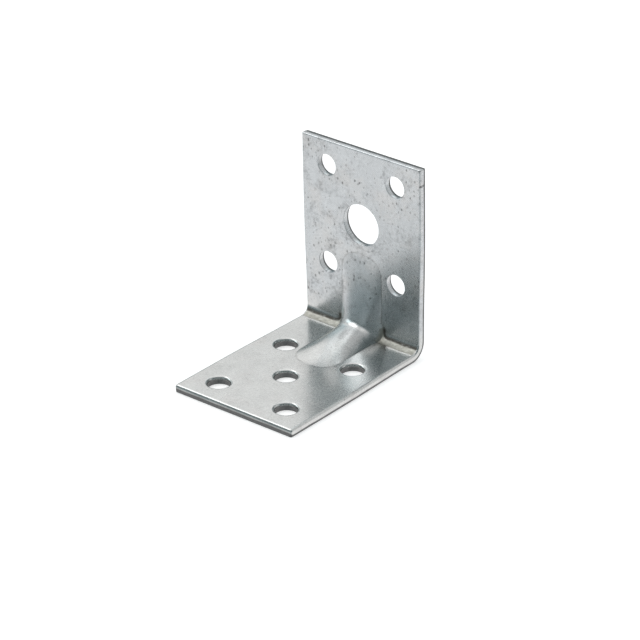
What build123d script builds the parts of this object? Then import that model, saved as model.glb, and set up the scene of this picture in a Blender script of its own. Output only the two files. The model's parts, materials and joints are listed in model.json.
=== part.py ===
# Ribbed angle bracket, cut and pressed from one piece of galvanised sheet steel.
# Millimetres, +Z up. The origin is the middle of the outer heel corner: the foot leg
# lies on z = 0 and runs to -Y, the upright leg backs onto y = 0, x = 0 halves the width.
import os
from math import cos, hypot, radians, sin, sqrt

from build123d import *

# sheet and legs
sheet = 2.0
leg_length = 50.0
width = 36.0
bend_inner_radius = 2.2
corner_radius = 0.7
edge_roll_radius = 0.6

# sides drawn in where the rib pulled the metal together
waist_depth = 0.5
waist_reach = 35.0

# nail holes, five in the foot leg and four in the upright leg
nail_hole_diameter = 5.5
foot_rim_radius = 0.6
nail_spacing_across = 20.8
foot_nail_spacing = 24.4
upright_nail_spacing = 25.8
nails_from_end = 19.4

# bolt hole in the middle of the upright leg's nails
bolt_hole_diameter = 10.6
upright_rim_radius = 0.15

# rib pressed into the heel from outside: raised inside, a groove of the same depth outside.
# In the heel it is set out about a line at this distance from both legs' outer faces, and
# widens by the flare. Along each leg its height dies out by a power curve, clear of the bolt.
rib_width = 12.2
rib_height = 3.0
rib_centre = 6.5
rib_heel_flare = 0.4
rib_fade_power = 1.4
rib_to_bolt_hole = 2.4

# how far the rib's sections run on into the sheet, so that the shapes cross cleanly, and
# how closely an edge is matched to a face of the sheet
overlap = 0.2
tolerance = 0.01

# the most that a wall of the rib takes off the groove's half width, in sheet thicknesses
steepest_wall = 0.8

os.makedirs("parts", exist_ok=True)

outer_radius = bend_inner_radius + sheet
nails_from_heel = leg_length - nails_from_end
rib_reach = nails_from_heel - bolt_hole_diameter / 2 - rib_to_bolt_hole
fade_length = rib_reach - rib_centre
# the crest comes nearer to the line in the heel, so that it runs on into the legs' slopes
crest_distance = rib_centre - sheet - rib_height
heel_rise = rib_fade_power * rib_height / fade_length * crest_distance / 2

# stations along the foot half of the rib, as (y, z, angle, height): a point of the sheet's
# inner face, the direction in which the section looks, and the rib's height above that point
stations = []
for left in (0, 0.25, 0.5, 0.75):
    height = rib_height * left**rib_fade_power - overlap * (1 - left) / 2
    stations.append((fade_length * left - rib_reach, sheet, 0, height))
for angle in (0, 22.5, 45):
    to_sheet = (rib_centre - sheet) / cos(radians(angle))
    if angle == 45:
        to_sheet -= bend_inner_radius * (sqrt(2) - 1)
    y = to_sheet * sin(radians(angle)) - rib_centre
    z = rib_centre - to_sheet * cos(radians(angle))
    height = to_sheet - crest_distance + heel_rise * sin(radians(2 * angle))
    stations.append((y, z, angle, height))
# the upright half mirrors the foot half about the heel's bisector
for y, z, angle, height in reversed(stations[:-1]):
    stations.append((-z, -y, 90 - angle, height))


def rib_section(station, wall, drop, depth):
    """Arched section of the rib at one station: narrower by a wall's slope, and dropped."""
    y, z, angle, height = station
    half_width = rib_width / 2 + rib_heel_flare * sin(radians(2 * angle))
    half_width -= wall * min(max(height, 0) / half_width, steepest_wall)
    looking = (0, cos(radians(angle)), sin(radians(angle)))
    with BuildSketch(Plane(origin=(0, y, z), x_dir=(1, 0, 0), z_dir=looking)) as section:
        with BuildLine():
            wall_top = drop + overlap
            ThreePointArc((-half_width, wall_top), (0, drop - height), (half_width, wall_top))
            Polyline(
                (half_width, wall_top),
                (half_width, drop + depth),
                (-half_width, drop + depth),
                (-half_width, wall_top),
            )
        make_face()
    return section.sketch


with BuildPart() as bracket:
    # bent sheet, too wide until it is cut to its outline
    with BuildSketch(Plane.YZ):
        with BuildLine():
            Polyline(
                (-leg_length, 0),
                (0, 0),
                (0, leg_length),
                (-sheet, leg_length),
                (-sheet, sheet),
                (-leg_length, sheet),
                close=True,
            )
        make_face()
        fillet(vertices().sort_by_distance((0, 0, 0))[0], outer_radius)
        fillet(vertices().sort_by_distance((0, -sheet, sheet))[0], bend_inner_radius)
    extrude(amount=width, both=True)

    # outline looking along the heel's bisector: straight sides drawn in near the heel
    bisector = Plane(origin=(0, 0, 0), x_dir=(1, 0, 0), z_dir=(0, 1, 1))
    with BuildSketch(bisector):
        with BuildLine():
            half = width / 2
            reach = waist_reach / sqrt(2)
            inflection = (half - waist_depth / 2, -reach / 2)
            Polyline((0, -leg_length), (half, -leg_length), (half, -reach))
            draw_in = TangentArc((half, -reach), inflection, tangent=(0, 1))
            TangentArc(inflection, (half - waist_depth, 0), tangent=draw_in % 1)
            Polyline((half - waist_depth, 0), (half - waist_depth, leg_length), (0, leg_length))
            mirror(about=Plane.YZ)
        make_face()
    extrude(amount=2 * leg_length, both=True, mode=Mode.INTERSECT)

    # rounded corners at the free ends of the legs
    foot_corners = edges().filter_by(Axis.Z).group_by(Axis.Y)[0]
    upright_corners = edges().filter_by(Axis.Y).group_by(Axis.Z)[-1]
    fillet(foot_corners + upright_corners, corner_radius)

    # outline rolled over on the inner side by the cutting punch
    def on_inner_outline(edge):
        middle = edge @ 0.5
        bend_distance = hypot(middle.Y + outer_radius, middle.Z - outer_radius)
        on_flat = abs(min(-middle.Y, middle.Z) - sheet) < tolerance
        on_bend = abs(bend_distance - bend_inner_radius) < tolerance
        at_side = abs(middle.X) > width / 2 - waist_depth - tolerance
        at_end = max(-middle.Y, middle.Z) > leg_length - tolerance
        return (on_flat or on_bend) and (at_side or at_end)

    fillet(edges().filter_by(on_inner_outline), edge_roll_radius)

    # holes in the foot leg
    with BuildSketch(Plane.XY):
        with Locations((0, -nails_from_heel)):
            Circle(nail_hole_diameter / 2)
            with GridLocations(nail_spacing_across, foot_nail_spacing, 2, 2):
                Circle(nail_hole_diameter / 2)
    extrude(amount=sheet, mode=Mode.SUBTRACT)
    foot_rims = edges(Select.LAST).filter_by(GeomType.CIRCLE).filter_by_position(Axis.Z, sheet, sheet)
    fillet(foot_rims, foot_rim_radius)

    # holes in the upright leg
    with BuildSketch(Plane.XZ):
        with Locations((0, nails_from_heel)):
            Circle(bolt_hole_diameter / 2)
            with GridLocations(nail_spacing_across, upright_nail_spacing, 2, 2):
                Circle(nail_hole_diameter / 2)
    extrude(amount=sheet, mode=Mode.SUBTRACT)
    upright_rims = (
        edges(Select.LAST).filter_by(GeomType.CIRCLE).filter_by_position(Axis.Y, -sheet, -sheet)
    )
    fillet(upright_rims, upright_rim_radius)

    # rib, running on to the middle of the sheet
    loft([rib_section(station, 0, 0, sheet / 2) for station in stations])

    # groove behind the rib
    groove = [rib_section(station, sheet, sheet, 2 * sheet) for station in stations]
    loft(groove, mode=Mode.SUBTRACT)
bracket.part.label = "bracket"
export_step(bracket.part, "parts/bracket.step")
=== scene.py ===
"""Ribbed angle bracket, cut and pressed from one piece of galvanised sheet steel."""
import json
import math

import bmesh
import bpy
import numpy as np
from mathutils import Matrix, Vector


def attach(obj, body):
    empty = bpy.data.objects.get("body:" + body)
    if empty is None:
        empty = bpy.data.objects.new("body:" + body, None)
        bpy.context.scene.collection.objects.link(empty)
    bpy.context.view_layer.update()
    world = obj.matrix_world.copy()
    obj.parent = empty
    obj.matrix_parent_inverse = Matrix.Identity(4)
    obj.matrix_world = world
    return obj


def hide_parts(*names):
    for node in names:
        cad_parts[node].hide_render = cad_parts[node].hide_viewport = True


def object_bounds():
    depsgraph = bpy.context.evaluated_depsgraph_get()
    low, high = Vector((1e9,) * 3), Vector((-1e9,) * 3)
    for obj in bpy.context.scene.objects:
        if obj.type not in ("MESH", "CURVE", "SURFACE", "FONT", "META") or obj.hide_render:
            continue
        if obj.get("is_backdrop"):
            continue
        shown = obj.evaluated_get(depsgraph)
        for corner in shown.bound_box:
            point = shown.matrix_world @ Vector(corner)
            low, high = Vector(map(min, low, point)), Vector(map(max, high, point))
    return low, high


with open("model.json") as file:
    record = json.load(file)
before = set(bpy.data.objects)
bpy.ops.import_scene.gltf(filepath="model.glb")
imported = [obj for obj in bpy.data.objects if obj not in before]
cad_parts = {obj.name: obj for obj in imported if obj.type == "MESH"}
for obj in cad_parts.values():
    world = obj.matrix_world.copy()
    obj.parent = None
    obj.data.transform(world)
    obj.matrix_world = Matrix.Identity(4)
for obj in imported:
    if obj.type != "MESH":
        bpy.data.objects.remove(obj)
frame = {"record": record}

mm = 0.001
cad_low, cad_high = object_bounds()

# The bracket: one strip of 2 mm zinc-coated steel, blanked with its nail holes and its bolt
# hole, then bent to a right angle over a punch that presses a stiffening rib through the heel.
sheet = 2.0 * mm
leg_length = cad_high.z
half_width = cad_high.x
bend_radius = 2.2 * mm
corner_radius = 0.7 * mm
# the crest centre, which the heel's faces fan out from, is this far inside both outer faces
fan_radius = 6.5 * mm
# a length too small to see, which keeps a thickness or a width from being nothing
hair = 0.001 * mm

# sides drawn in towards the heel, over a margin inside the edge
waist_depth = 0.5 * mm
waist_reach = 35.0 * mm
waist_margin = 3.0 * mm

# rib: from the round start on its half width closes to the tip, at its reach, where its
# crest has died out
rib_height = 3.0 * mm
rib_half_width = 6.1 * mm
rib_heel_flare = 0.4 * mm
rib_round_start = 17.0 * mm
rib_reach = 22.9 * mm
rib_crease = 0.12 * mm
tip_power = 2.5
fade_power = 1.4
crown_power = 2.8
crease_power = 1.5
# the most that a wall of the rib takes off the groove's half width, in sheet thicknesses
steepest_wall = 0.8
# the share of its radius up to which the rib's arc is followed
arc_share = 0.98


def fan_angle(run):
    """The angle that a run along the sheet has turned to about the crest centre, evenly from
    0 on the foot to a quarter turn on the upright."""
    return (np.clip(run / fan_radius, -1, 1) + 1) * math.pi / 4


def at_reach(run, reach):
    """y and z of the point at a distance from the crest centre, at the run's angle. Past the
    fan the point goes straight on along its leg."""
    angle = fan_angle(run)
    y = reach * np.sin(angle) - fan_radius + np.minimum(run + fan_radius, 0)
    z = fan_radius - reach * np.cos(angle) + np.maximum(run - fan_radius, 0)
    return y, z


def reach_of(angle, level, radius):
    """How far the sheet's face lies from the crest centre, looking at an angle from straight
    down: the leg's plane at its level, or the bend's arc between the two legs."""
    to_leg = (fan_radius - level) / np.maximum(np.cos(angle), np.sin(angle))
    centre = fan_radius - bend_radius - sheet
    along = centre * (np.sin(angle) + np.cos(angle))
    to_bend = along + np.sqrt(np.maximum(along**2 - 2 * centre**2 + radius**2, 0))
    leg_end = math.atan2(centre, fan_radius - level)
    on_bend = np.abs(angle - math.pi / 4) < math.pi / 4 - leg_end
    return np.where(on_bend, to_bend, to_leg)


def heel_share(place):
    """1 in the middle of the heel, easing by a cosine to 0 at the fan's end."""
    return np.sin(math.pi / 2 * (1 + np.clip(place / fan_radius, 0, 1)))


def rib_outline(place, most=1):
    """The rib's half width, and how far it has closed in, up to the most that is asked for.
    It widens in the heel by the flare, and closes to a tip as a superellipse."""
    closing = np.clip((place - rib_round_start) / (rib_reach - rib_round_start), 0, most)
    half = rib_half_width * (1 - closing**tip_power) ** (1 / tip_power)
    return half + rib_heel_flare * heel_share(place), closing


def rib_rise(x, run, face, reach):
    """How far the rib stands out of the sheet, from the inner face, 0, to the outer one, 1.
    On the legs its crest dies out by a power curve. In the heel it lies at a distance from
    the crest centre that eases in by a cosine, so that it runs on into the legs without a
    kink. Across, it is the mean of an arc through the crest and both creases and of a flatter
    crown, which falls off by a power curve. The creases are rounded by a quadratic."""
    place = np.abs(run)
    left = np.clip((rib_reach - place) / (rib_reach - fan_radius), 0, 1)
    leg_distance = fan_radius - sheet - rib_height
    ease = fade_power * rib_height / (rib_reach - fan_radius) * leg_distance / 2
    heel = reach - leg_distance + ease * heel_share(place) - face * sheet
    crest = np.maximum(np.where(place < fan_radius, heel, rib_height * left**fade_power), hair)
    half = np.maximum(rib_outline(place)[0], 10 * hair)
    half = half * (1 - face * sheet / half * np.minimum(crest / half, steepest_wall))
    radius = (half**2 + crest**2) / (2 * crest)
    across = np.minimum(np.abs(x), arc_share * radius)
    rise = crest - radius + np.sqrt(radius**2 - across**2)
    rise = np.where(np.abs(x) > arc_share * radius, -sheet, rise)
    crown = crest * (1 - np.minimum(np.abs(x) / half, 1) ** crown_power)
    rise = np.where(np.abs(x) < half, (rise + crown) / 2, rise)
    soft = np.minimum(rib_crease * (crest / rib_height) ** crease_power, crest / 2)
    rounded = (rise + soft) ** 2 / (4 * soft)
    return np.where(rise > soft, rise, np.where(rise > -soft, rounded, 0))


def bend_way(run):
    """How far the plain inner face has come past the middle of the bend, towards the
    foot's end: an arc length on the bend, then a straight distance on the leg."""
    y, z = at_reach(run, reach_of(fan_angle(run), sheet, bend_radius))
    centre = bend_radius + sheet
    turn = np.clip(np.arctan2(centre - z, y + centre), 0, math.pi / 2)
    on_bend = (turn - math.pi / 4) * bend_radius
    return on_bend + np.maximum(-centre - y, 0) - np.maximum(z - centre, 0)


def inside_corner(first, second, radius):
    """Distance inside two borders that meet in a rounded corner, up to its radius."""
    return radius - np.hypot(np.maximum(radius - first, 0), np.maximum(radius - second, 0))


def wander(places, wavelength, seed):
    """Uneven line between about -1 and 1: three sines whose wavelengths share no period,
    each weaker than the last, shifted by the seed."""
    total = 0
    for step, ratio in enumerate((1.0, 0.618, 0.277)):
        shift = seed * (step + 1.7)
        total = total + np.sin(2 * math.pi * places / (wavelength * ratio) + shift) / (step + 1)
    return total / 1.8


def bell(off):
    """A bell curve: 1 in the middle, falling off by the exponential of the square."""
    return np.exp(-(off**2))


# marks of the bending punch on the inner face: a line round the rib's foot, and a band that
# it coined on the bend, between an upper and a lower line. Each turns along the rib in a
# corner of this radius, this far outside the rib's side, or inside it if less than 0.
rib_line_width = 0.12 * mm
rib_line_depth = 0.02 * mm
# how dark the shade painted along the line round the rib's foot is
rib_line_dark = 0.4
band_top = 0.0
band_bottom = 1.75 * mm
band_wander = 0.07 * mm
band_wavelength = 9 * mm
upper_corner_out = 0.5 * mm
upper_corner_radius = 1.6 * mm
upper_line_width = 0.4 * mm
upper_line_fade = 0.45 * mm
upper_line_edge = 0.1 * mm
upper_line_depth = 0.012 * mm
lower_corner_out = -0.4 * mm
lower_corner_radius = 0.8 * mm
lower_line_width = 0.1 * mm
lower_line_depth = 0.02 * mm
# how dark the shade painted along the lower line is
lower_line_dark = 0.6
lines_reach = 2.2 * mm
lines_fade = 0.9 * mm
coined_edge = 0.08 * mm
coined_side_out = -0.48 * mm
coined_side_fade = 0.6 * mm
coined_reach = 2.6 * mm
coined_reach_fade = 0.3 * mm


def tool_marks_and_line_shade(x, run):
    """The grooves' depth, the shade painted along them, and the share of the band that is coined.
    Each groove and its painted shade is a bell curve of the distance from its line, and the
    upper one is as deep over its whole width before it fades upwards. The coined share rises
    straight at its edges."""
    place = np.abs(run)
    half, closing = rib_outline(place, most=0.999)
    slope = rib_half_width * closing ** (tip_power - 1)
    slope = slope * (1 - closing**tip_power) ** (1 / tip_power - 1) / (rib_reach - rib_round_start)
    round_rib = bell((np.abs(x) - half) / np.hypot(1, slope) / rib_line_width) * (place < rib_reach)
    way = bend_way(run) + band_wander * wander(x, band_wavelength, 1.0)
    beside = np.abs(x) - rib_half_width
    upper = inside_corner(band_top - way, beside - upper_corner_out, upper_corner_radius)
    lower = inside_corner(way - band_bottom, beside - lower_corner_out, lower_corner_radius)
    fading = np.exp(-np.maximum(np.abs(way) - lines_reach, 0) / lines_fade)
    past_line = (upper - upper_line_width) / upper_line_fade
    before_line = np.maximum(-upper, 0) / upper_line_edge
    above = bell(np.where(upper > upper_line_width, past_line, before_line)) * fading
    under = bell(lower / lower_line_width) * fading
    groove = rib_line_depth * round_rib + upper_line_depth * above + lower_line_depth * under
    # the painted shade of the grooves: dark along the rib's line and along the band's lines
    dark = np.maximum(rib_line_dark * round_rib, np.maximum(above, lower_line_dark * under))
    coined = np.clip(-np.maximum(upper, lower) / coined_edge, 0, 1)
    coined = coined * np.clip((beside - coined_side_out) / coined_side_fade, 0, 1)
    coined = coined * np.clip((coined_reach - np.abs(way)) / coined_reach_fade, 0, 1)
    return groove, dark, coined


def on_sheet(x, run, depth):
    """Points of the sheet. x lies across it, run along it, from the foot's end to the
    upright's, and depth below the inner face. Within the fan the run turns evenly into an
    angle about the crest centre; past it the legs go straight on. The sides are drawn in
    towards the heel by a curve of two parabolas."""
    x, run, depth = np.broadcast_arrays(x, run, depth)
    angle = fan_angle(run)
    face = depth / sheet
    inner = reach_of(angle, sheet, bend_radius)
    outer = reach_of(angle, 0, bend_radius + sheet)
    reach = inner + face * (outer - inner)
    reach = reach - rib_rise(x, run, face, reach) + tool_marks_and_line_shade(x, run)[0] * (face == 0)
    y, z = at_reach(run, reach)
    towards = np.clip(np.abs(run) / waist_reach, 0, 1)
    waist = np.where(towards < 0.5, 1 - 2 * towards**2, 2 * (1 - towards) ** 2) * waist_depth
    share = np.clip((np.abs(x) - half_width + corner_radius) / waist_margin + 1, 0, 1)
    return np.stack([x - np.sign(x) * waist * share, y, z], -1)


# Holes at the places that the solid's mounts give. The foot's were punched with wide rolled rims
# and torn walls, painted dark from the rim down, which is partly painted shade inside the holes;
# the upright's cleanly. Each has a land around it, meshed in rings.
foot_punch_and_hole_shade = {
    "rim": 0.6 * mm,
    "rim_depth": 0.8 * mm,
    # the torn zone starts right under the rim: the torn steel, and also painted shade inside the
    # foot's holes
    "torn": 0.6 * mm,
    "uneven": 0.05 * mm,
    "fade": 0.3 * mm,
    "breakout": 0.12 * mm,
}
upright_punch = {
    "rim": 0.12 * mm,
    "rim_depth": 0.12 * mm,
    "torn": 1.3 * mm,
    "uneven": 0.14 * mm,
    "fade": 0.04 * mm,
    "breakout": 0.28 * mm,
}
hole_land = 0.7 * mm


def drilled(x, run, radius):
    """A hole's place and radius, half the width of its land, and how it was punched."""
    punch = upright_punch if run > 0 else foot_punch_and_hole_shade
    return x, run, radius, radius + punch["rim"] + hole_land, punch


holes = []
for mount in frame["record"]["mounts"]:
    x, y, z = mount["pos_m"]
    run = z if z > -y else y
    sizes = mount["dims"]
    if mount["kind"] == "bore":
        holes.append(drilled(x, run, sizes["r_mm"] * mm))
    if mount["kind"] == "bolt_pattern":
        for across in (-0.5, 0.5):
            for along in (-0.5, 0.5):
                place = run + along * sizes["spacing_y_mm"] * mm
                side = across * sizes["spacing_x_mm"] * mm
                holes.append(drilled(side, place, sizes["hole_r_mm"] * mm))

# grid lines within the slack count as one, and are rounded to these decimals of a metre
slack = 0.01 * mm
decimals = 7


def ruled(marks, fine, coarse, fine_within):
    """Grid lines through all the marks, in even cells: small ones near the rib."""
    marks = np.unique(np.round(marks, decimals))
    lines = []
    for start, end in zip(marks[:-1], marks[1:]):
        step = fine if max(abs(start), abs(end)) <= fine_within + slack else coarse
        cells = math.ceil((end - start) / step)
        lines.append(np.linspace(start, end, cells, endpoint=False))
    return np.concatenate(lines + [marks[-1:]])


def finer(lines, marks, start, end, step):
    """Grid lines with a finer stretch between two places, and its mirror image. The lines
    through the marks stay, and none of the stretch lies close beside one."""
    stretch = np.arange(start, end + step / 2, step)
    stretch = np.concatenate([stretch, -stretch])
    marks = np.array(marks)
    clear = np.min(np.abs(stretch[:, None] - marks), axis=1) > 0.4 * step
    outside = (np.abs(lines) < start - step / 2) | (np.abs(lines) > end + step / 2)
    return np.unique(np.round(np.concatenate([lines[outside], marks, stretch[clear]]), decimals))


# Grid lines across and along the blank: small cells beside the rib and its tips, and the
# finest at its creases, on the bend and round its tips.
edge_x = half_width - corner_radius
edge_run = leg_length - corner_radius
beside_rib = 7.6 * mm
past_rib = 25 * mm
past_flare = 9 * mm
past_bend = 4.2 * mm
x_marks = [-edge_x, 0, edge_x, -past_flare, past_flare]
run_marks = [-edge_run, edge_run, -past_rib, past_rib, -past_bend, past_bend]
for x, run, radius, land, punch in holes:
    x_marks += [x - land, x + land]
    run_marks += [run - land, run + land]
x_lines = ruled(x_marks + [-beside_rib, beside_rib], 0.3 * mm, 0.7 * mm, beside_rib)
x_lines = finer(x_lines, x_marks, 5.7 * mm, 6.9 * mm, 0.1 * mm)
run_lines = ruled(run_marks, 0.36 * mm, 0.7 * mm, past_rib)
run_lines = finer(run_lines, run_marks, 0.0, 4.05 * mm, 0.15 * mm)
run_lines = finer(run_lines, run_marks, 19.5 * mm, 23.1 * mm, 0.18 * mm)

points = []
places = []
faces = []
cuts = []


def lay(x, run, depth, cut, keep=None):
    """Adds a grid of the sheet's points as four-sided faces, without the cells that aren't
    kept, and notes where each lies on the flat blank and how far down a cut edge."""
    x, run, depth, cut = np.broadcast_arrays(x, run, depth, cut)
    rows, columns = x.shape
    first = sum(len(part) for part in points)
    index = first + np.arange(rows * columns).reshape(rows, columns)
    quads = np.stack([index[:-1, :-1], index[:-1, 1:], index[1:, 1:], index[1:, :-1]], -1)
    faces.append(quads[keep] if keep is not None else quads.reshape(-1, 4))
    points.append(on_sheet(x, run, depth).reshape(-1, 3))
    places.append(np.stack([x, run, depth], -1).reshape(-1, 3))
    cuts.append(cut.reshape(-1))


# Inner and outer faces, open at the holes' lands.
run_grid, x_grid = np.meshgrid(run_lines, x_lines, indexing="ij")
x_middle = (x_grid[:-1, :-1] + x_grid[1:, 1:]) / 2
run_middle = (run_grid[:-1, :-1] + run_grid[1:, 1:]) / 2
keep = np.ones(x_middle.shape, bool)
for x, run, radius, land, punch in holes:
    keep &= (np.abs(x_middle - x) > land) | (np.abs(run_middle - run) > land)
for depth in (0, sheet):
    lay(x_grid, run_grid, depth, 0, keep)


def around(xs, runs):
    """The loop round a rectangle of grid lines, closed on itself."""
    low_run, high_run = np.full(len(xs), runs[0]), np.full(len(xs), runs[-1])
    low_x, high_x = np.full(len(runs), xs[0]), np.full(len(runs), xs[-1])
    loop_x = np.concatenate([xs, high_x, xs[::-1], low_x])
    loop_run = np.concatenate([low_run, runs, high_run, runs[::-1]])
    return loop_x, loop_run


roll_rows = 13
flare_power = 0.7
# the least height of burnished land, and of the change to the torn zone
least_land = 0.02 * mm


def cut_profile(roll_width, roll_depth, torn, fade, breakout):
    """A punched edge from the inner to the outer face, as rows of (inset, depth, cut), each
    along the edge: a quarter ellipse rolled over by the punch, the burnished land, and the
    torn zone, which flares by a power curve to the breakout. Down the edge the cut mask rises
    from 0 to 0.5 over the roll, and to 1 within the fade about the torn line."""
    turn = np.linspace(0, math.pi / 2, roll_rows)[:, None]
    ones = np.ones_like(torn)
    tear = np.maximum(torn - fade, roll_depth + least_land)
    torn_full = np.maximum(torn + fade, tear + least_land)
    share = np.array([0, 0.33, 0.67, 0.94, 1])[:, None]
    below = torn_full + share * (sheet - torn_full)
    roll = roll_depth * (1 - np.cos(turn)) * ones
    depth = np.concatenate([roll, [(roll_depth + tear) / 2 * ones, tear * ones], below * ones])
    flare = breakout * np.clip((depth - tear) / (sheet - tear), 0, 1) ** flare_power
    inset = np.concatenate([roll_width * (1 - np.sin(turn)) * ones, flare[roll_rows:]])
    mask = np.clip((depth - torn + fade) / (2 * fade), 0, 1)
    cut = 0.5 * np.minimum(depth / roll_depth, 1) + 0.5 * mask
    return np.stack([inset, depth, np.minimum(cut, 1)])


# Each hole is a profile carried round its circle, with its land in rings on both faces.
for number, (x, run, radius, land, punch) in enumerate(holes):
    xs = x_lines[np.abs(x_lines - x) < land + slack]
    runs = run_lines[np.abs(run_lines - run) < land + slack]
    loop_x, loop_run = around(xs, runs)
    angle = np.arctan2(loop_run - run, loop_x - x)
    torn = punch["torn"] + punch["uneven"] * wander(angle, 2 * math.pi, number)
    profile = cut_profile(punch["rim"], punch["rim_depth"], torn, punch["fade"], punch["breakout"])
    inset, depth, cut = profile
    out = radius + inset
    ring_x = x + out * np.cos(angle)
    ring_run = run + out * np.sin(angle)
    shares = np.array([0, 0.4, 0.75])[:, None]
    inner_x = loop_x + shares * (ring_x[0] - loop_x)
    inner_run = loop_run + shares * (ring_run[0] - loop_run)
    shares = np.array([0.5, 1])[:, None]
    outer_x = ring_x[-1] + shares * (loop_x - ring_x[-1])
    outer_run = ring_run[-1] + shares * (loop_run - ring_run[-1])
    all_x = np.concatenate([inner_x, ring_x, outer_x])
    all_run = np.concatenate([inner_run, ring_run, outer_run])
    all_depth = np.concatenate([0 * inner_x, depth, 0 * outer_x + sheet])
    lay(all_x, all_run, all_depth, np.concatenate([0 * inner_x, cut, 0 * outer_x]))

# The outline is the same kind of profile carried round the blank, with a fan of steps at
# each corner. The foot's ends are more rolled over and torn than the upright's and the sides.
corner_steps = 13
loop_x, loop_run, facing = [], [], []
sides = [
    (x_lines, np.full(len(x_lines), -edge_run), -math.pi / 2),
    (np.full(len(run_lines), edge_x), run_lines, 0),
    (x_lines[::-1], np.full(len(x_lines), edge_run), math.pi / 2),
    (np.full(len(run_lines), -edge_x), run_lines[::-1], math.pi),
]
for side_x, side_run, side_facing in sides:
    fan = side_facing + np.linspace(0, math.pi / 2, corner_steps)[1:-1]
    loop_x += [side_x, np.full(len(fan), side_x[-1])]
    loop_run += [side_run, np.full(len(fan), side_run[-1])]
    facing += [np.full(len(side_x), side_facing), fan]
loop_x = np.concatenate(loop_x + [x_lines[:1]])
loop_run = np.concatenate(loop_run + [[-edge_run]])
facing = np.concatenate(facing + [[-math.pi / 2]])
steps_x = np.diff(loop_x, prepend=loop_x[0])
steps_run = np.diff(loop_run, prepend=loop_run[0])
length = np.cumsum(np.hypot(steps_x, steps_run))
heel_blend = 8 * mm
on_upright = np.clip(loop_run / heel_blend + 0.5, 0, 1)
on_side = np.cos(facing) ** 2
roll_width = (0.6 - 0.3 * on_upright) * mm
roll_depth = (0.9 - 0.55 * on_upright - 0.3 * on_side * (1 - on_upright)) * mm
end_torn = (0.75 + 0.4 * on_upright) * mm
side_torn = 1.38 * mm
uneven = 0.06 * mm * wander(length, 11 * mm, 4.0)
torn = end_torn + (side_torn - end_torn) * on_side + uneven
fade = (0.34 - 0.28 * np.maximum(on_upright, on_side)) * mm
breakout = 0.12 * mm
inset, depth, cut = cut_profile(roll_width, roll_depth, torn, fade, breakout)
# each corner's curve is a superellipse, nearly square on the upright
power = 3.2 + 4.8 * on_upright
square = (np.abs(np.cos(facing)) ** power + np.abs(np.sin(facing)) ** power) ** (-1 / power)
nothing = 0 * facing
out = np.concatenate([[nothing], corner_radius - inset, [nothing]]) * square
depth = np.concatenate([[nothing], depth, [nothing + sheet]])
cut = np.concatenate([[nothing], cut, [nothing]])
lay(loop_x + out * np.cos(facing), loop_run + out * np.sin(facing), depth, cut)

# One skin: shared borders are merged and all faces turned outwards.
points = np.concatenate(points)
places = np.concatenate(places)
faces = np.concatenate(faces)
cuts = np.concatenate(cuts)
dark, coined = tool_marks_and_line_shade(places[:, 0], places[:, 1])[1:]
on_inner = places[:, 2] < hair
# masks of the cut edges, of the painted shade along the grooves on the inner face, and of the
# coined band
masks = {"cut_edge": cuts, "tool_line": dark * on_inner, "coined_band": coined * on_inner}
skin = bpy.data.meshes.new("bracket_skin")
skin.from_pydata(points, [], faces.tolist())
for name, values in masks.items():
    mask = skin.attributes.new(name, "FLOAT", "POINT")
    mask.data.foreach_set("value", values.astype(np.float32))
blank_place = skin.attributes.new("blank_place", "FLOAT_VECTOR", "POINT")
blank_place.data.foreach_set("vector", places.astype(np.float32).ravel())
shell = bmesh.new()
shell.from_mesh(skin)
bmesh.ops.remove_doubles(shell, verts=shell.verts, dist=2 * hair)
bmesh.ops.recalc_face_normals(shell, faces=shell.faces)
shell.to_mesh(skin)
shell.free()
skin.shade_smooth()
bracket = bpy.data.objects.new("pressed_bracket", skin)
bpy.context.scene.collection.objects.link(bracket)
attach(bracket, "root")
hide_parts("bracket")

# The bracket's finish: hot-dip zinc, bright but blurred, mottled, with dark pits. The nodes
# below are all added to the tree of the material that is being made.
zinc = bpy.data.materials.new("galvanised_zinc")
zinc.use_nodes = True
tree = zinc.node_tree
shader = tree.nodes["Principled BSDF"]
shader.inputs["Metallic"].default_value = 1.0
where = tree.nodes.new("ShaderNodeTexCoord").outputs["Object"]


def put(socket, value):
    """Puts a value on an input, or a link from another node's output."""
    if isinstance(value, bpy.types.NodeSocket):
        tree.links.new(value, socket)
    else:
        socket.default_value = value


def add(kind, settings=(), **sockets):
    """A shader node with its settings, and with values or links put on its inputs, which go
    by their names, or by their numbers after an underscore."""
    made = tree.nodes.new(kind)
    for name, value in dict(settings).items():
        setattr(made, name, value)
    for name, value in sockets.items():
        number = name[1:]
        put(made.inputs[int(number) if number.isdigit() else name.replace("_", " ")], value)
    return made


def clouds(size, detail, roughness):
    """Cloudy noise whose largest lumps have about this size."""
    return add(
        "ShaderNodeTexNoise", Vector=where, Scale=1 / size, Detail=detail, Roughness=roughness
    ).outputs


def noise(size, detail=3.0, roughness=0.55):
    """Cloudy noise as one value, about a half."""
    return clouds(size, detail, roughness)["Fac"]


def spread(value, low, high, to_low=0.0, to_high=1.0, kind="LINEAR"):
    """A value's range laid out on another range, and held at its ends."""
    ends = {"From_Min": low, "From_Max": high, "To_Min": to_low, "To_Max": to_high}
    return add("ShaderNodeMapRange", {"interpolation_type": kind}, Value=value, **ends).outputs[0]


def ramp(value, start, end, low=0.0, high=1.0):
    """A soft step of a value between two places."""
    return spread(value, start, end, low, high, "SMOOTHSTEP")


def calc(operation, first, second):
    """Two values joined by an arithmetic operation."""
    return add("ShaderNodeMath", {"operation": operation}, _0=first, _1=second).outputs[0]


def times(first, *others):
    """Values multiplied together."""
    for other in others:
        first = calc("MULTIPLY", first, other)
    return first


def highest(first, *others):
    """The highest of the values."""
    for other in others:
        first = calc("MAXIMUM", first, other)
    return first


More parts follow.
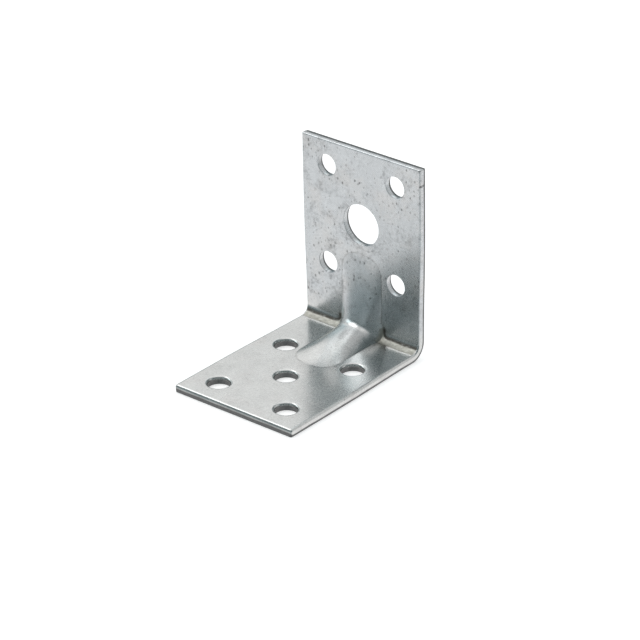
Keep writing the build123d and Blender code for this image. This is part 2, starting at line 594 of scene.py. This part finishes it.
def blend(share, first, second, kind="MIX"):
    """Two colours blended."""
    mix = {"data_type": "RGBA", "blend_type": kind}
    return add("ShaderNodeMix", mix, _0=share, _6=first, _7=second).outputs[2]


def grey(value):
    """A value as a grey colour."""
    return add("ShaderNodeCombineColor", Red=value, Green=value, Blue=value).outputs[0]


def mask_of(name):
    """One of the skin's masks."""
    return add("ShaderNodeAttribute", {"attribute_name": name}).outputs["Fac"]


# one zinc on both legs, painted as a lit and a shaded copy: the foot leg, facing up, painted
# lighter and slightly warmer, the upright leg painted darker and bluish; both cloudy and smudged
foot_zinc_painted_light = (0.690, 0.698, 0.686, 1)
upright_zinc_painted_shade = (0.632, 0.656, 0.672, 1)
warm_zinc = (0.66, 0.65, 0.638, 1)
height_above = add("ShaderNodeSeparateXYZ", Vector=where).outputs["Z"]
upright_share = ramp(height_above, 2.5 * mm, 9 * mm)
colour = blend(upright_share, foot_zinc_painted_light, upright_zinc_painted_shade)
warmth = spread(noise(7 * mm, roughness=0.6), 0.48, 0.66, to_high=0.5)
colour = blend(warmth, colour, warm_zinc)
cloud = spread(noise(8 * mm, detail=5.0, roughness=0.62), 0.3, 0.7, 0.93, 1.06)
grain = spread(noise(0.7 * mm, roughness=0.65), 0.25, 0.75, 0.93, 1.07)
smudge_place = ramp(noise(4.5 * mm, detail=5.0, roughness=0.7), 0.47, 0.64)
smudge_grain = spread(noise(0.8 * mm, detail=4.0, roughness=0.7), 0.38, 0.64)
smudge = times(smudge_place, smudge_grain, spread(upright_share, 0, 1, to_low=0.3))
tone = times(cloud, grain, spread(smudge, 0, 1, to_low=1.0, to_high=0.62))
colour = blend(1.0, colour, grey(tone), "MULTIPLY")

# small dark pits, many on the upright leg and few on the foot, drawn out along the sheet
pit_spacing = 1.3 * mm
pit_drawing = (1.0, 0.62, 1.0)
raggedness = (0.5 * mm, 0.5 * mm, 0.5 * mm)
flat = add("ShaderNodeAttribute", {"attribute_name": "blank_place"}).outputs["Vector"]
drawn = add("ShaderNodeVectorMath", {"operation": "MULTIPLY"}, _0=flat, _1=pit_drawing).outputs[0]
lumps = clouds(0.35 * mm, detail=2.0, roughness=0.5)["Color"]
ragged = add(
    "ShaderNodeVectorMath", {"operation": "MULTIPLY_ADD"}, _0=lumps, _1=raggedness, _2=drawn
).outputs[0]
cells = add(
    "ShaderNodeTexVoronoi", {"voronoi_dimensions": "2D"}, Vector=ragged, Scale=1 / pit_spacing
).outputs
pick = add("ShaderNodeSeparateColor", Color=cells["Color"]).outputs
cluster = spread(noise(7 * mm, detail=2.0), 0.40, 0.60, to_low=0.45)
most = times(cluster, spread(upright_share, 0, 1, to_low=0.4))
pit_radius = times(spread(pick["Red"], 0.10, 1.0, to_low=0.05, to_high=0.19), most)
pit = ramp(calc("SUBTRACT", pit_radius, cells["Distance"]), -0.05, 0.08)
pit = times(pit, spread(pick["Red"], 0.08, 0.12), spread(pick["Blue"], 0, 1, to_low=0.5))
pit_tone = spread(pick["Green"], 0, 1, to_low=0.12, to_high=0.34)
colour = blend(pit, colour, grey(pit_tone))

# the band that the punch coined on the bend, matt and straw-coloured, and the painted shade along
# its grooved lines and round the rib's foot
dark_straw = (0.44, 0.43, 0.385, 1)
light_straw = (0.64, 0.63, 0.575, 1)
line_shade_colour = (0.135, 0.125, 0.11, 1)
band_wear = spread(noise(0.6 * mm, roughness=0.6), 0.32, 0.48, to_low=0.8)
band = times(mask_of("coined_band"), band_wear)
straw_share = spread(noise(0.8 * mm, detail=4.0, roughness=0.7), 0.35, 0.65)
colour = blend(band, colour, blend(straw_share, dark_straw, light_straw))
# the grooves' painted shade, broken up by noise
line_shade_breakup = spread(noise(0.7 * mm, roughness=0.6), 0.30, 0.50, to_low=0.75)
line = times(mask_of("tool_line"), line_shade_breakup)
colour = blend(line, colour, line_shade_colour)

# torn zone of the cut edges: bare, dark and grainy; in the foot's holes it is painted from the rim
# down, and is painted shade inside the holes too
torn = spread(mask_of("cut_edge"), 0.55, 0.95)
torn_tone = spread(noise(0.5 * mm, detail=4.0, roughness=0.7), 0.3, 0.7, 0.13, 0.24)
colour = blend(torn, colour, grey(torn_tone))
put(shader.inputs["Base Color"], colour)

# the zinc is a blurred mirror with a fine speckle, duller where it is pitted, torn or marked
speckle = spread(noise(0.13 * mm, detail=2.0, roughness=0.6), 0.30, 0.70, to_high=0.20)
rough = calc("ADD", speckle, spread(upright_share, 0, 1, 0.13, 0.17))
dull = highest(pit, torn, times(smudge, 0.6), highest(band, line))
put(shader.inputs["Roughness"], highest(rough, spread(dull, 0, 1, to_high=0.55)))

# broad dents, and a skin that is grainy where it is torn or coined and sunk at the pits
dents = add("ShaderNodeBump", Strength=1.0, Distance=0.1 * mm, Height=noise(11 * mm, 1.0))
coarse = spread(highest(torn, band), 0, 1, to_low=0.15)
skin_grain = times(noise(0.4 * mm, roughness=0.6), coarse)
height = calc("SUBTRACT", skin_grain, times(pit, 0.8))
finish = add(
    "ShaderNodeBump", Strength=1.0, Distance=0.016 * mm, Height=height, Normal=dents.outputs[0]
)
put(shader.inputs["Normal"], finish.outputs[0])
skin.materials.append(zinc)

# The floor: a plain pale sheet of paper, matt, and white to the camera where nothing shades
# it. The zinc mirrors the studio and not the floor.
floor_half = 2.0
floor_z = -0.02 * mm
paper_glow = 0.55
turns = ((-1, -1), (1, -1), (1, 1), (-1, 1))
floor_corners = [(floor_half * x, floor_half * y, floor_z) for x, y in turns]
floor_mesh = bpy.data.meshes.new("floor")
floor_mesh.from_pydata(floor_corners, [], [(0, 1, 2, 3)])
floor = bpy.data.objects.new("floor", floor_mesh)
bpy.context.scene.collection.objects.link(floor)
floor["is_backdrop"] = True
floor.visible_glossy = False
paper = bpy.data.materials.new("floor_paper")
paper.use_nodes = True
tree = paper.node_tree
shader = tree.nodes["Principled BSDF"]
put(shader.inputs["Base Color"], (0.8, 0.8, 0.8, 1))
put(shader.inputs["Roughness"], 1.0)
put(shader.inputs["Specular IOR Level"], 0.0)
rays = tree.nodes.new("ShaderNodeLightPath").outputs
seen = highest(rays["Is Camera Ray"], rays["Is Glossy Ray"], rays["Is Transmission Ray"])
white = add("ShaderNodeEmission", Color=(1, 1, 1, 1), Strength=times(seen, paper_glow))
both = add("ShaderNodeAddShader", _0=shader.outputs[0], _1=white.outputs[0])
put(tree.nodes["Material Output"].inputs["Surface"], both.outputs[0])
floor_mesh.materials.append(paper)

# Plain soft studio light: a pale room, dimmer in front, with a pale sky and three soft lamps
# up on the left. The room is white to the camera.
studio = bpy.data.worlds.new("studio")
bpy.context.scene.world = studio
studio.use_nodes = True
tree = studio.node_tree
toward = tree.nodes.new("ShaderNodeTexCoord").outputs["Generated"]
direction = add("ShaderNodeSeparateXYZ", Vector=toward).outputs
side, rearward, upward = direction["X"], direction["Y"], direction["Z"]
to_front = ramp(rearward, 0.15, -0.35)
sky_behind = times(ramp(upward, 0.26, 0.48), calc("SUBTRACT", 1.0, to_front))
sky_in_front = times(ramp(upward, 0.46, 0.74), to_front)
sky = times(highest(sky_behind, sky_in_front), ramp(side, -0.28, -0.50))
left_wall = times(ramp(side, -0.66, -0.95), 0.5)
right_front = times(ramp(side, -0.20, 0.10), to_front)
not_right_front = calc("SUBTRACT", 1.0, times(right_front, 0.55))
below = times(ramp(upward, -0.42, -0.04, 1.0, 0.0), not_right_front)
overhead = ramp(upward, 0.70, 0.93, high=0.9)
back_wall = times(ramp(rearward, 0.08, 0.55, high=0.6), ramp(side, -0.6, 0.0))
horizon = times(ramp(upward, -0.30, -0.06), ramp(upward, 0.16, 0.02))
horizon = times(horizon, ramp(side, 0.20, 0.0), 0.18)
middle = times(ramp(side, -0.42, -0.22), ramp(side, 0.25, 0.02))
middle = times(middle, to_front, ramp(upward, 0.45, 0.25, 0.08, 0.24))
room = highest(left_wall, sky, back_wall, highest(below, overhead), highest(middle, horizon))
wall = spread(room, 0, 1, to_low=0.185)

# each lamp: the way to it, the cosines to it where its edge begins and ends, its brightness
lamps = [
    ((-0.367, 0.404, 0.838), 0.84, 0.92, 1.15),
    ((-0.54, -0.33, 0.775), 0.935, 0.985, 2.4),
    ((-0.86, -0.35, 0.38), 0.96, 0.99, 1.7),
]
lamp_light = 0.0
for way, edge, full, brightness in lamps:
    dot = add("ShaderNodeVectorMath", {"operation": "DOT_PRODUCT"}, _0=toward, _1=way)
    lamp_light = highest(ramp(dot.outputs["Value"], edge, full, high=brightness), lamp_light)
seen = tree.nodes.new("ShaderNodeLightPath").outputs["Is Camera Ray"]
unseen = times(highest(wall, lamp_light), calc("SUBTRACT", 1.0, seen))
background = tree.nodes["Background"]
put(background.inputs["Strength"], calc("ADD", unseen, seen))
cool = (0.86, 1.03, 1.07, 1)
pale = highest(ramp(wall, 0.25, 0.8), seen)
put(background.inputs["Color"], blend(pale, cool, (1, 1, 1, 1)))

# The camera stands to the right in front and looks down, at the photograph's angle. Its place
# was fitted to the outlines and holes of the bracket there, in the photograph's 640 pixels.
azimuth = math.radians(40.315)
elevation = math.radians(27.511)
roll = math.radians(-1.0947)
distance = 0.824559
aim = np.array([-15.094, 0, -0.526]) * mm
focal_pixels = 3356.959
frame_pixels = 640
sensor_width = 36
flat_way = math.cos(elevation)
forward = np.array(
    [-math.sin(azimuth) * flat_way, math.cos(azimuth) * flat_way, -math.sin(elevation)]
)
level_right = np.array([math.cos(azimuth), math.sin(azimuth), 0])
level_up = np.cross(level_right, forward)
right = math.cos(roll) * level_right + math.sin(roll) * level_up
up = math.cos(roll) * level_up - math.sin(roll) * level_right
camera_data = bpy.data.cameras.new("camera")
camera_data.sensor_width = sensor_width
camera_data.lens = focal_pixels / frame_pixels * sensor_width
camera_data.clip_start = 0.01
camera = bpy.data.objects.new("camera", camera_data)
matrix = np.eye(4)
matrix[:3, :4] = np.stack([right, up, -forward, aim - forward * distance], 1)
camera.matrix_world = Matrix(matrix.tolist())
bpy.context.scene.collection.objects.link(camera)
bpy.context.scene.camera = camera
bpy.context.scene.view_settings.view_transform = "Standard"

low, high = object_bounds()
sizes = {"cad": [list(cad_low), list(cad_high)], "visual": [list(low), list(high)]}
